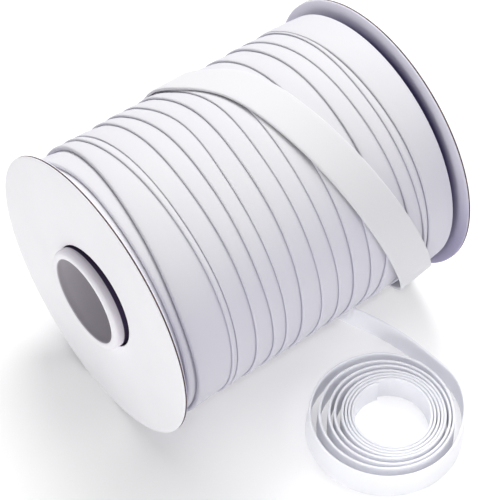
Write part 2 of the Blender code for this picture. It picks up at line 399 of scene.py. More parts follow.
@dataclass(frozen=True)
class TapeFinish:
    """White tape woven plain and cut on the bias, so that its threads run at 45 degrees to it.

    It is painted cooler and darker low down than high up, as painted shade. A soft one lets light
    through, as far as its soft reach.
    """

    white: Triple = (0.715, 0.711, 0.724)
    # the colour that both the mottle and the painted shade low down go towards
    cool_mottle_and_painted_shade: Triple = (0.640, 0.630, 0.700)
    # the colour of the painted shade in the creases
    crease: Triple = (0.46, 0.45, 0.56)
    # painted shade low down: full below the first height, none above the second, and this strong
    tape_fully_shaded_below: float = 0.066
    tape_unshaded_above: float = 0.094
    painted_low_shade: float = 0.8
    soft: float = 0.0
    soft_reach: float = 0.0012
    thread_pitch: float = 0.00042
    thread_depth: float = 0.00002
    thread_share: float = 0.7
    thread_shade: float = 0.05
    slub_scale: float = 900.0
    slub_share: float = 0.3
    slub_roughness: float = 0.12
    cloud_scale: float = 45.0
    cloud_level: float = 0.35
    cloud_shade: float = 0.35
    roughness: float = 0.82
    sheen: float = 0.15
    gloss: float = 0.25

    def make(self, name: str) -> bpy.types.Material:
        """The material: threads over and under at 45 degrees, faint clouds, painted shade low down, and
        painted shade in the creases.

        The height of the weave is the product of two sines, one along each thread's direction.

        Args:
            name: the material's name.

        Returns:
            The material, which reads the mark of the painted shade in the creases.
        """
        board = NodeBoard(name)
        lengths = board.node("ShaderNodeUVMap", {"uv_map": "tape_lengths"})
        along, over = board.part_of(lengths, "X"), board.part_of(lengths, "Y")
        turn = math.pi * math.sqrt(2) / self.thread_pitch
        weave = ((along + over) * turn).sine() * ((along - over) * turn).sine() * 0.5 + 0.5
        slub = board.cloud(self.slub_scale, 2.0)
        cloud = board.cloud(self.cloud_scale, 3.0)
        height = weave * self.thread_share + slub * self.slub_share
        # painted shade in the creases, by the mark that the pieces carry
        crease = board.mark("crease")
        # painted shade: the tape is painted cooler and darker towards the bottom
        painted_low_shade_share = board.part_of(board.place(), "Z").ramp(self.tape_unshaded_above, self.tape_fully_shaded_below)
        shade = (1 - height) * self.thread_shade + (cloud - self.cloud_level) * self.cloud_shade
        plain = board.mix(shade + painted_low_shade_share * self.painted_low_shade, self.white, self.cool_mottle_and_painted_shade)
        return board.finish(
            Base_Color=board.mix(crease, plain, self.crease),
            Roughness=self.roughness + (slub - 0.5) * self.slub_roughness,
            Normal=board.bump(height, self.thread_depth, 0.6),
            Sheen_Weight=self.sheen,
            Sheen_Roughness=0.5,
            Specular_IOR_Level=self.gloss,
            Subsurface_Weight=self.soft,
            Subsurface_Radius=(1.0, 1.0, 1.0),
            Subsurface_Scale=self.soft_reach,
        )


# the coil and the crossing turn are the same tape as the winding, with base colours painted brighter for
# how they are lit: the coil much brighter, the crossing turn a little
COILED_TAPE_PAINTED_BRIGHTER = TapeFinish(white=(0.925, 0.93, 0.97), cool_mottle_and_painted_shade=(0.885, 0.89, 0.955), soft=0.7)
CROSSING_TAPE_PAINTED_BRIGHTER = TapeFinish(white=(0.745, 0.745, 0.755), cool_mottle_and_painted_shade=(0.715, 0.713, 0.735))


@dataclass(frozen=True)
class LayerFinish:
    """The ends of the winding, where the edges of all the turns show as fine rings."""

    white: Triple = (0.80, 0.80, 0.86)
    gap: Triple = (0.36, 0.35, 0.46)
    # painted shade: the dark colour in the slot next to the tube, between these radii
    deep: Triple = (0.070, 0.045, 0.115)
    slot_shade_from: float = 0.0235
    slot_shade_to: float = 0.0255
    layer_pitch: float = 0.0010
    layer_depth: float = 0.0002
    waver: float = 0.0009
    waver_scale: float = 70.0
    roughness: float = 0.85
    ring_roughness: float = 0.05

    def make(self, name: str) -> bpy.types.Material:
        """The material: rings a tape's thickness apart, and painted shade in the slot next to the tube.

        The rings are a sine of the distance from the axis, which soft noise makes waver.

        Args:
            name: the material's name.

        Returns:
            The material.
        """
        board = NodeBoard(name)
        radius = board.from_axis()
        bent = radius + board.cloud(self.waver_scale, 2.0) * self.waver
        rings = (bent * (2 * math.pi / self.layer_pitch)).sine() * 0.5 + 0.5
        # painted shade in the slot round the tube, by the distance from the axis
        deep = radius.ramp(self.slot_shade_to, self.slot_shade_from)
        colour = board.mix(rings**2, self.gap, self.white)
        return board.finish(
            Base_Color=board.mix(deep, colour, self.deep),
            Roughness=self.roughness + rings * self.ring_roughness,
            Normal=board.bump(rings, self.layer_depth, 0.7),
        )


@dataclass(frozen=True)
class BoardFinish:
    """Thin board with white paper outside, a cooler colour inside, and a dark cut edge between them.

    The inside has painted shade: darker low down, and darkest next to the winding.
    """

    outside: Triple = (0.94, 0.935, 0.955)
    outside_dull: float = 0.955
    dull_between: tuple[float, float] = (0.3, 0.75)
    inside: Triple = (0.86, 0.84, 0.93)
    # painted shade on the inside: darker towards the bottom, between these heights
    inside_painted_low_shade: Triple = (0.40, 0.375, 0.53)
    inside_unshaded_above: float = 0.085
    inside_fully_shaded_below: float = 0.030
    # painted shade on the inside next to the winding, between these radii
    shaded: Triple = (0.18, 0.155, 0.33)
    shaded_to: float = 0.0405
    shaded_from: float = 0.0445
    core: Triple = (0.060, 0.036, 0.034)
    core_worn: float = 2.2
    worn_between: tuple[float, float] = (0.4, 0.7)
    core_between: tuple[float, float] = (0.45, 0.62)
    mottle_scale: float = 28.0
    fibre_scale: float = 420.0
    fibre_depth: float = 0.00003
    roughness: float = 0.58
    fibre_roughness: float = 0.14
    edge_roughness: float = 0.25
    gloss: float = 0.35

    def make(self, name: str) -> bpy.types.Material:
        """The material: mottled paper with painted shade on its inside, its marks named inner_side and
        cut_edge.

        Args:
            name: the material's name.

        Returns:
            The material.
        """
        board = NodeBoard(name)
        fibre = board.cloud(self.fibre_scale, 4.0)
        mottle = board.cloud(self.mottle_scale, 3.0)
        radius = board.from_axis()
        inner = board.mark("inner_side")
        edge = board.mark("cut_edge")
        dull = tuple(self.outside_dull * c for c in self.outside)
        outside = board.mix(mottle.ramp(*self.dull_between), self.outside, dull)
        # painted shade: the inside is darker low down and darkest next to the winding
        low = board.part_of(board.place(), "Z").ramp(self.inside_unshaded_above, self.inside_fully_shaded_below)
        inside = board.mix(low, self.inside, self.inside_painted_low_shade)
        inside = board.mix(radius.ramp(self.shaded_from, self.shaded_to), inside, self.shaded)
        paper = board.mix(inner, outside, inside)
        worn = tuple(self.core_worn * c for c in self.core)
        core = board.mix(fibre.ramp(*self.worn_between), self.core, worn)
        rough = self.roughness + (fibre - 0.5) * self.fibre_roughness
        return board.finish(
            Base_Color=board.mix(edge.ramp(*self.core_between), paper, core),
            Roughness=rough + edge * self.edge_roughness,
            Normal=board.bump(fibre * 0.6 + mottle * 0.4, self.fibre_depth, 0.5),
            Specular_IOR_Level=self.gloss,
        )


@dataclass(frozen=True)
class TubeFinish:
    """A smooth white tube with painted shade, lavender on its side and dark where it is sunk, its bore
    of plain grey board.
    """

    lip: Triple = (0.93, 0.92, 0.95)
    # painted shade: the side below the lip is painted lavender
    side: Triple = (0.95, 0.90, 0.97)
    bore: Triple = (0.52, 0.49, 0.53)
    bore_light: Triple = (0.58, 0.55, 0.59)
    # painted shade where the tube is sunk in the flange's hole
    sunk: Triple = (0.070, 0.045, 0.115)
    fibre_scale: float = 520.0
    fibre_stretch: Triple = (0.25, 1.0, 1.0)
    fibre_depth: float = 0.00003
    cloud_scale: float = 60.0
    bore_between: tuple[float, float] = (0.3, 0.7)
    roughness: float = 0.5
    bore_roughness: float = 0.3
    fibre_roughness: float = 0.1

    def make(self, name: str) -> bpy.types.Material:
        """The material, which reads the marks named bore, lip and sunk; lip and sunk place its painted
        shade.

        Args:
            name: the material's name.

        Returns:
            The material.
        """
        board = NodeBoard(name)
        inputs = {0: board.place(), "Scale": self.fibre_stretch}
        stretched = board.node("ShaderNodeMapping", {"vector_type": "POINT"}, inputs)
        fibre = board.cloud(self.fibre_scale, 3.0, stretched)
        cloud = board.cloud(self.cloud_scale, 2.0)
        bore = board.mark("bore")
        # painted shade: lavender on the side, white on the lip, dark where sunk
        outside = board.mix(board.mark("lip"), self.side, self.lip)
        outside = board.mix(board.mark("sunk"), outside, self.sunk)
        grey = board.mix(fibre * 0.5 + cloud * 0.5, self.bore, self.bore_light)
        rough = self.roughness + bore * self.bore_roughness
        return board.finish(
            Base_Color=board.mix(bore.ramp(*self.bore_between), outside, grey),
            Roughness=rough + (fibre - 0.5) * self.fibre_roughness,
            Normal=board.bump(fibre, self.fibre_depth, 0.4),
        )


@dataclass(frozen=True)
class FloorFinish:
    """A plain pale floor with the faintest unevenness, lit a little from within as a light table is."""

    pale: Triple = (0.84, 0.84, 0.83)
    dim: Triple = (0.825, 0.825, 0.815)
    glow: float = 0.22
    cloud_scale: float = 3.0
    roughness: float = 0.9

    def make(self, name: str) -> bpy.types.Material:
        """The floor's material.

        Args:
            name: the material's name.

        Returns:
            The material.
        """
        board = NodeBoard(name)
        return board.finish(
            Base_Color=board.mix(board.cloud(self.cloud_scale, 2.0), self.pale, self.dim),
            Roughness=self.roughness,
            Specular_IOR_Level=0.0,
            Emission_Color=(1.0, 1.0, 1.0),
            Emission_Strength=self.glow,
        )


class SpoolEnd(Enum):
    """Which end of the spool a flange is at: its name, its outer face and the way to its inner one."""

    FRONT = ("front", 0.0, 1.0)
    REAR = ("rear", SPOOL_LENGTH, -1.0)


@dataclass
class Flange:
    """A thin board disc with soft edges and a hole a little larger than the tube."""

    end: SpoolEnd
    thickness: float = 0.0012
    rounding: float = 0.0003
    core_half: float = 0.00026
    core_fade: float = 0.8
    core_hint: float = 0.4
    hole_long: float = 0.0201
    hole_wide: float = 0.01795
    hole_shift: float = 0.0023
    hole_turn: float = math.radians(38)
    sides: int = 288
    face_rings: tuple[float, ...] = (0.02, 0.2, 0.4, 0.6, 0.8, 0.97)
    bow: float = 0.00012
    bow_from: float = 0.7

    def section(self) -> list[tuple[float, float, float, float, float]]:
        """The board's section from the hole out over the outer face and back over the inner one.

        Each corner is a quarter circle of the rounding's radius. The cut-edge mark comes in between
        the core's half thickness and its fade's share of that.

        Returns:
            Rows of: share of the way from hole to rim, distance back from the nearer of the two, depth
            from the outer face, cut-edge mark and inner-side mark.
        """
        half, e = self.thickness / 2, self.rounding
        corner = [math.radians(a) for a in (0, 30, 60, 90)]
        rows = []
        for share in (0.0, 1.0):
            side = []
            for a in corner:
                side.append((share, e * (1 - math.sin(a)), e * (1 - math.cos(a)), 0.0, 0.0))
            side.append((share, 0.0, half - self.core_half, self.core_hint, 0.0))
            side.append((share, 0.0, half - self.core_half * self.core_fade, 1.0, 0.0))
            side.append((share, 0.0, half, 1.0, 0.5))
            back = [(s, i, self.thickness - d, m, 1 - n) for s, i, d, m, n in reversed(side[:-1])]
            rows.append((side, back))
        (hole_front, hole_back), (rim_front, rim_back) = rows
        front_face = [(s, 0.0, 0.0, 0.0, 0.0) for s in self.face_rings]
        back_face = [(s, 0.0, self.thickness, 0.0, 1.0) for s in reversed(self.face_rings)]
        loop = [*reversed(hole_front), *front_face, *rim_front, *rim_back, *back_face]
        return [*loop, *reversed(hole_back), hole_front[-1]]

    def surface(self) -> Surface:
        """The whole disc as one grid, each row a section at one angle.

        A point is the share of the way from the hole to the rim. The hole is an ellipse, off the middle
        along its longer axis. The rim's radius is cut where it would pass under the surface that the
        disc stands on. The disc bows inwards by a sine of twice the angle times the share squared, but
        not at its top and foot.

        Returns:
            The disc's surface.
        """
        share, back, depth, edge, inner = np.array(self.section()).T
        angle = np.linspace(0, 2 * math.pi, self.sides + 1)[:, None]
        down = np.maximum(-np.cos(angle), math.cos(FLAT_HALF_ANGLE))
        reach = np.minimum(FLANGE_RADIUS, AXIS_HEIGHT / down)
        rim = round_the_axis(np.zeros_like(share), reach - np.where(share == 1, back, 0), angle)
        long_way = self.hole_shift + (self.hole_long + back) * np.cos(angle - self.hole_turn)
        wide_way = (self.hole_wide + back) * np.sin(angle - self.hole_turn)
        hole = round_the_axis(
            np.zeros_like(share),
            np.hypot(long_way, wide_way),
            self.hole_turn + np.arctan2(wide_way, long_way),
        )
        points = hole + (rim - hole) * share[None, :, None]
        _, face, inwards = self.end.value
        bowed = self.bow * np.sin(2 * angle + self.bow_from) * share**2 * (1 - np.cos(angle) ** 8)
        points[..., 0] = face + inwards * (depth + np.maximum(bowed, 0))
        ones = np.ones_like(angle)
        return Surface(points, marks={"cut_edge": edge * ones, "inner_side": inner * ones})

    def build(self, finish: bpy.types.Material) -> bpy.types.Object:
        """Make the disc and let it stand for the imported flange.

        Args:
            finish: the board's material.

        Returns:
            The disc.
        """
        name, _, _ = self.end.value
        piece = build_piece(f"{name}_board_disc", [self.surface()], [finish])
        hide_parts(f"{name}_flange")
        return piece


@dataclass
class CoreTube:
    """The tube through both flanges, with rounded lips and a thin sleeve inside its bore."""

    reach: float = 0.0032
    outer_radius: float = 0.0176
    bore_radius: float = 0.0147
    lip_rounding: float = 0.0013
    inner_rounding: float = 0.0006
    grey_until: float = 0.9
    sleeve_from: float = 0.0007
    sleeve_back: float = 0.0027
    sleeve_slope: tuple[float, float] = (0.0002, -0.0001)
    sleeve_step: float = 0.00012
    side_from: float = 0.0012
    shadow_half: float = 0.0001
    sides: int = 160

    def section(self) -> np.ndarray:
        """One end's section, from the middle of the bore out over the lip to the middle outside.

        The lip is two quarter circles, a small one into the bore and a larger one to the side. The
        bore's grey goes on round the small one up to the angle grey_until.

        Returns:
            Rows of: place along the axis, radius, and the marks bore, lip and sunk. The lip gives way to
            the side's painted shade, and sunk is painted shade in the flange's hole.
        """
        front, middle = -self.reach, SPOOL_LENGTH / 2
        wide, r, small = self.bore_radius + self.sleeve_step, self.lip_rounding, self.inner_rounding
        deep, shallow = self.sleeve_slope
        rows = [
            (middle, self.bore_radius, 1.0, 0.0, 0.0),
            (front + self.sleeve_back + deep, self.bore_radius, 1.0, 0.0, 0.0),
            (front + self.sleeve_back + shallow, wide, 1.0, 0.0, 0.0),
            (front + self.sleeve_from, wide, 1.0, 0.0, 0.0),
        ]
        for a in np.radians((0, 30, 60, 90)):
            x = front + small * (1 - math.sin(a))
            rows.append((x, wide + small * (1 - math.cos(a)), float(a < self.grey_until), 1.0, 0.0))
        for a in np.radians((0, 20, 40, 60, 75, 90)):
            x = front + r * (1 - math.cos(a))
            rows.append((x, self.outer_radius - r * (1 - math.sin(a)), 0.0, math.cos(a) ** 0.5, 0.0))
        rows.append((front + r + self.side_from, self.outer_radius, 0.0, 0.0, 0.0))
        # the painted shade of the sunk part starts at the flange's face
        rows.append((-self.shadow_half, self.outer_radius, 0.0, 0.0, 0.0))
        rows.append((self.shadow_half, self.outer_radius, 0.0, 0.0, 1.0))
        rows.append((middle, self.outer_radius, 0.0, 0.0, 1.0))
        return np.array(rows)

    def build(self, finish: bpy.types.Material) -> bpy.types.Object:
        """Make the tube, its section carried round the axis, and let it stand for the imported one.

        Args:
            finish: the tube's material.

        Returns:
            The tube.
        """
        front = self.section()
        rear = front[::-1] * (-1, 1, 1, 1, 1) + (SPOOL_LENGTH, 0, 0, 0, 0)
        x, radius, bore, lip, sunk = np.concatenate([front, rear]).T
        angle = np.linspace(0, 2 * math.pi, self.sides + 1)[:, None]
        ones = np.ones_like(angle)
        marks = {"bore": bore * ones, "lip": lip * ones, "sunk": sunk * ones}
        outside = Surface(round_the_axis(x, radius, angle), marks=marks)
        piece = build_piece("tube_with_lips", [outside], [finish])
        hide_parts("core_tube")
        return piece


@dataclass
class WoundTape:
    """The winding: every band's folded left edge lies on the band before, and its right side under
    the next one. Over the back each edge moves on to the next one's place, as one long helix."""

    start: float = 0.0016
    end: float = 0.1092
    top: float = 0.0462
    start_radius: float = 0.0446
    end_ring: float = 0.036
    inside_radius: float = 0.0180
    slot_radius: float = 0.0258
    slot_depth: float = 0.0100
    slot_edge: float = 0.0004
    slot_taper: float = 0.001
    drop: float = 0.0008
    drop_over: float = 0.002
    fall_power: float = 1.2
    crown: float = 0.00012
    fold_rounding: float = 0.00045
    fold_over: float = 0.0015
    thick_rounding: float = 0.00030
    thick_from: float = 1.2
    tuck: float = 0.6
    shade_reach: float = 0.00060
    shade_over: float = 0.001
    rows: int = 320
    waver: float = 0.00010
    calm_over: float = 0.004
    lift_share: float = 0.4
    # each sine's height, its pace round the unwound angle, and where it starts
    sway: tuple[Triple, ...] = ((1.0, 2.37, 0.0), (0.6, 5.3, 1.0))
    lift: tuple[Triple, ...] = ((1.0, 3.1, 2.0), (0.5, 7.7, 0.0))
    edge_angles: tuple[float, ...] = (-37, -12, 22, 50, 100)
    # millimetres from the front flange at those angles, the edge's height over the top radius, and how
    # dark its painted crease shade is
    edges: tuple[tuple[tuple[float, ...], float, float], ...] = (
        ((1.6, 1.6, 1.6, 1.6, 1.6), -1.6, 0.2),
        ((4.2, 4.85, 4.3, 4.0, 3.9), -0.8, 0.0),
        ((12.3, 11.0, 8.4, 6.75, 7.3), 0.1, 0.0),
        ((17.6, 18.3, 19.2, 20.1, 20.3), 0.1, 1.0),
        ((20.3, 21.0, 21.6, 22.2, 22.5), -0.1, 1.0),
        ((28.9, 29.4, 28.9, 29.2, 29.9), 0.0, 1.1),
        ((34.2, 35.6, 35.1, 35.2, 36.7), 0.1, 1.0),
        ((40.0, 42.0, 40.8, 40.6, 41.5), 0.0, 1.1),
        ((46.9, 48.5, 47.7, 47.6, 47.7), 0.1, 1.1),
        ((52.0, 54.9, 54.4, 54.8, 55.4), 0.0, 1.0),
        ((60.0, 61.4, 61.0, 61.2, 62.3), -0.1, 1.0),
        ((66.6, 68.0, 67.4, 67.6, 68.5), 0.0, 1.0),
        ((73.3, 74.5, 74.7, 74.7, 75.1), 0.0, 1.0),
        ((81.8, 83.1, 83.0, 82.5, 80.5), 0.1, 0.8),
        ((87.5, 89.0, 89.9, 90.7, 91.0), 0.0, 0.9),
        ((94.2, 95.1, 95.1, 95.7, 96.9), -0.1, 1.0),
        ((95.2, 96.6, 97.6, 98.6, 98.5), 0.1, 0.9),
    )
    fold_angles: tuple[float, ...] = (235, 210, 185, 160, 135, 112, 90)
    fold_shade: tuple[float, ...] = (1.0, 0.8, 0.4, 0.12, 0.0, 0.0, 0.0)
    face_shares: tuple[float, ...] = (0.2, 0.45, 0.72, 1.0)
    # between the last face share and the next crease: the share of the fall left, and of the painted
    # crease shade
    crease_near: tuple[float, float] = (0.04, 0.3)
    # how dark the painted crease shade is, and how much paler it is painted at the top than at the side
    painted_crease_shade_by_angle: tuple[float, float] = (0.75, 0.35)

    def edge_places(self, degrees: np.ndarray) -> tuple[np.ndarray, np.ndarray]:
        """Where each band's left edge is at these angles, and how high it stands.

        Up to the last known angle the place is the smooth curve through the known ones, and from
        there to a full turn it is a smooth step to the next band's place. Two sines of the unwound
        angle make it sway along the axis, and two more make it rise and fall, but not near the ends.

        Args:
            degrees: angles round the spool.

        Returns:
            Places along the axis and radii, each angles by bands.
        """
        known = np.array([row[0] for row in self.edges]) * MM
        high = self.top + np.array([row[1] for row in self.edges]) * MM
        last, following = self.edge_angles[-1], self.edge_angles[0] + 360
        early = np.minimum(degrees, last)
        places = np.stack([smooth_curve(early, self.edge_angles, row) for row in known], axis=1)
        share = smooth_step((degrees - last) / (following - last))[:, None]
        ahead = np.append(known[1:, 0], self.end)
        high_ahead = np.append(high[1:], high[-1] - self.drop)
        places = places * (1 - share) + ahead * share
        heights = high * (1 - share) + high_ahead * share
        unwound = np.radians(degrees)[:, None] + 2 * math.pi * np.arange(len(high))
        inside = smooth_step((places - self.start) / self.calm_over)
        inside = inside * smooth_step((self.end - places) / self.calm_over)
        sway = self.waver * waves(unwound, self.sway)
        lift = self.lift_share * self.waver * waves(unwound, self.lift)
        return places + sway * inside, heights + lift * inside

    def bands(self) -> list[Surface]:
        """The outer surface, one grid for each band.

        Across a band the section climbs round the fold, as an arc from low on its left to its top, and
        then falls by the drop to where the next band covers it, with a slight crown. The creases carry
        painted shade, painted paler at the top: its darkness falls with the cosine of the angle from
        there.

        Returns:
            The bands' surfaces, which meet along their creases.
        """
        degrees = self.edge_angles[0] + np.linspace(0, 360, self.rows + 1)
        places, heights = self.edge_places(degrees)
        ones = np.ones((len(degrees), 1))
        edges = np.hstack([self.start * ones, places, self.end * ones])
        heights = np.hstack([self.start_radius * ones, heights])
        # the last band runs out at the height where its end began, so that the far rim closes
        heights[-1, -1] = heights[0, -1] - self.drop
        width = np.diff(edges, axis=1)
        ends = heights - self.drop * smooth_step(width / self.drop_over)
        before = np.hstack([self.start_radius * ones, ends[:, :-1]])
        step = np.clip(heights - before, 0, None)
        thick = self.thick_rounding * np.clip(step / self.drop - self.thick_from, 0, 1)
        plump = self.fold_rounding + thick
        fold = np.minimum(plump, step / 2) * smooth_step(width / self.fold_over)
        tucked = np.hstack([fold[:, 1:], 0 * ones]) * self.tuck
        turn = np.radians(degrees)[:, None]
        # painted shade in each crease: its strength at each edge, painted paler at the top of the spool
        painted_crease_darkness = [0.0, *(row[2] for row in self.edges), 0.0]
        painted_crease_shade_by_angle = self.painted_crease_shade_by_angle[0] - self.painted_crease_shade_by_angle[1] * np.cos(turn)
        fall_left, shade_left = self.crease_near
        found = []
        for k in range(width.shape[1]):
            x0, x1, r, h = edges[:, k], edges[:, k + 1], fold[:, k], heights[:, k]
            columns = [(x0 + self.tuck * r, before[:, k], painted_crease_darkness[k])]
            for degree, shade in zip(self.fold_angles, self.fold_shade):
                a = math.radians(degree)
                columns.append((x0 + r + r * math.cos(a), h - r + r * math.sin(a), shade * painted_crease_darkness[k]))
            left, right = x0 + r, x1 + tucked[:, k]
            near = right - np.minimum(self.shade_reach, 0.3 * width[:, k])
            fall = h - ends[:, k]
            for share in self.face_shares:
                x = left + share * (near - left)
                s = np.clip((x - left) / np.maximum(right - left, 1e-9), 0, 1)
                fallen = h - fall * s**self.fall_power
                columns.append((x, fallen + self.crown * 4 * s * (1 - s), 0.0))
            low = ends[:, k] + fall_left * fall
            columns.append(((near + right) / 2, low, shade_left * painted_crease_darkness[k + 1]))
            columns.append((right, ends[:, k], painted_crease_darkness[k + 1]))
            x = np.stack([c[0] for c in columns], axis=1)
            radius = np.stack([c[1] for c in columns], axis=1)
            shade = np.array([c[2] for c in columns]) * painted_crease_shade_by_angle
            shade = shade * smooth_step(width[:, k : k + 1] / self.shade_over)
            over = np.cumsum(np.hypot(np.diff(x, axis=1), np.diff(radius, axis=1)), axis=1)
            over = np.hstack([0 * ones, over])
            over = over - over[:, len(self.fold_angles)][:, None]
            along = (turn + 2 * math.pi * k) * self.top * np.ones_like(over)
            lengths = np.stack([along, over], axis=-1)
            found.append(Surface(round_the_axis(x, radius, turn), lengths, {"crease": shade}))
        return found

    def ends(self, far_rim: np.ndarray) -> Surface:
        """Both flat ends and the inside, with a slot round the tube at each end.

        Args:
            far_rim: the points where the last band ends, which close the far end.

        Returns:
            One surface from the near end's rim through the inside to the far end's.
        """
        near = [
            (self.start, self.start_radius),
            (self.start, self.end_ring),
            (self.start, self.slot_radius + self.slot_edge),
            (self.start + self.slot_edge, self.slot_radius),
            (self.start + self.slot_depth, self.slot_radius - self.slot_taper),
            (self.start + self.slot_depth, self.inside_radius),
        ]
        far = [(self.start + self.end - x, r) for x, r in reversed(near[1:])]
        x, radius = np.array([*near, *far]).T
        angle = np.radians(self.edge_angles[0] + np.linspace(0, 360, self.rows + 1))[:, None]
        rings = round_the_axis(x, radius, angle)
        return Surface(np.concatenate([rings, far_rim[:, None]], axis=1), finish=1)

    def build(self, tape: bpy.types.Material, layers: bpy.types.Material) -> bpy.types.Object:
        """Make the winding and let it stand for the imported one.

        Args:
            tape: the bands' material.
            layers: the material of the ends and the inside.

        Returns:
            The winding.
        """
        bands = self.bands()
        patches = [*bands, self.ends(bands[-1].points[:, -1])]
        piece = build_piece("wound_bands", patches, [tape, layers])
        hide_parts("wound_tape")
        return piece


@dataclass
class TapeSection:
    """The section of a single tape: flat on both faces, its two folded edges round."""

    width: float
    thickness: float
    face_points: int = 9
    edge_points: int = 5

    def outline(self) -> tuple[np.ndarray, np.ndarray]:
        """The section's outline, closed, once round.

        Its edges are half circles of half the thickness, and its faces straight lines between them.

        Returns:
            Places across the tape from 0 to its width, and heights from 0 to its thickness.
        """
        r = self.thickness / 2
        flat = np.linspace(r, self.width - r, self.face_points)
        bend = np.linspace(0, math.pi, self.edge_points + 2)[1:-1]
        across = [flat, self.width - r + r * np.sin(bend), flat[::-1], r - r * np.sin(bend)]
        up = [np.full_like(flat, 2 * r), r + r * np.cos(bend), 0 * flat, r - r * np.cos(bend)]
        return np.append(np.concatenate(across), flat[0]), np.append(np.concatenate(up), 2 * r)

    def lengths(self, along: np.ndarray) -> np.ndarray:
        """The tape's own lengths: along it as given, and round its outline.

        Args:
            along: the length along the tape at each station.

        Returns:
            Stations by outline points by two.
        """
        across, up = self.outline()
        over = np.append(0, np.cumsum(np.hypot(np.diff(across), np.diff(up))))
        return np.stack(np.broadcast_arrays(along[:, None], over), axis=-1)


@dataclass
class CrossingTurn:
    """The turn that lies across the others, and hangs a little loose where it leaves below."""

    section: TapeSection = field(default_factory=lambda: TapeSection(0.0130, 0.0010))
    underside: float = 0.0464
    step: float = math.radians(1.5)
    sink: float = 0.0016
    sink_over: float = math.radians(16)
    # angle in degrees, x of the left edge, stand-off of the left and of the right edge, in mm
    route: tuple[tuple[float, float, float, float], ...] = (
        (-152, 49.6, 0.0, 0.0),
        (-110, 50.2, 0.0, 0.0),
        (-65, 50.9, 0.0, 0.0),
        (-36, 51.6, 0.0, 0.0),
        (-11, 58.6, 0.0, 0.0),
        (20, 64.5, 0.0, 0.0),
        (51, 71.6, 0.0, 0.0),
        (87, 81.7, 0.3, 0.0),
        (108, 88.0, 1.5, 0.3),
        (126, 93.6, 2.1, 0.6),
        (150, 97.6, 0.9, 0.3),
        (172, 98.6, 0.1, 0.0),
        (212, 98.8, 0.0, 0.0),
    )

    def surface(self) -> Surface:
        """The tape bent round the roll.

        A point's radius is the underside's plus its own height and the stand-off between the two
        edges', less a sink at both ends, where the tape goes in under the others.

        Returns:
            The turn's surface, with both ends closed.
        """
        route = np.array(self.route, float)
        knots = np.radians(route[:, 0])
        angle = np.arange(knots[0], knots[-1] + 1e-6, self.step)
        left = smooth_curve(angle, knots, route[:, 1] * MM)
        off = [smooth_curve(angle, knots, route[:, c] * MM).clip(0)[:, None] for c in (2, 3)]
        slope = np.gradient(left, angle) / self.underside
        across, up = self.section.outline()
        share = across / self.section.width
        x = left[:, None] + across * np.sqrt(1 + slope**2)[:, None]
        from_end = np.minimum(angle - angle[0], angle[-1] - angle)
        sunk = self.sink * (1 - smooth_step(from_end / self.sink_over))[:, None]
        radius = self.underside + up + off[0] * (1 - share) + off[1] * share - sunk
        points = round_the_axis(x, radius, angle[:, None])
        lengths = self.section.lengths((angle - angle[0]) * self.underside)
        return Surface(points, lengths, {"crease": np.zeros(radius.shape)}, closed_ends=True)

    def build(self, finish: bpy.types.Material, under: bpy.types.Object) -> bpy.types.Object:
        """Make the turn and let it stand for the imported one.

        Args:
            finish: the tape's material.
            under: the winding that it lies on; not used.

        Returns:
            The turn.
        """
        surface = self.surface()
        piece = build_piece("crossing_tape", [surface], [finish])
        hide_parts("crossing_turn")
        return piece


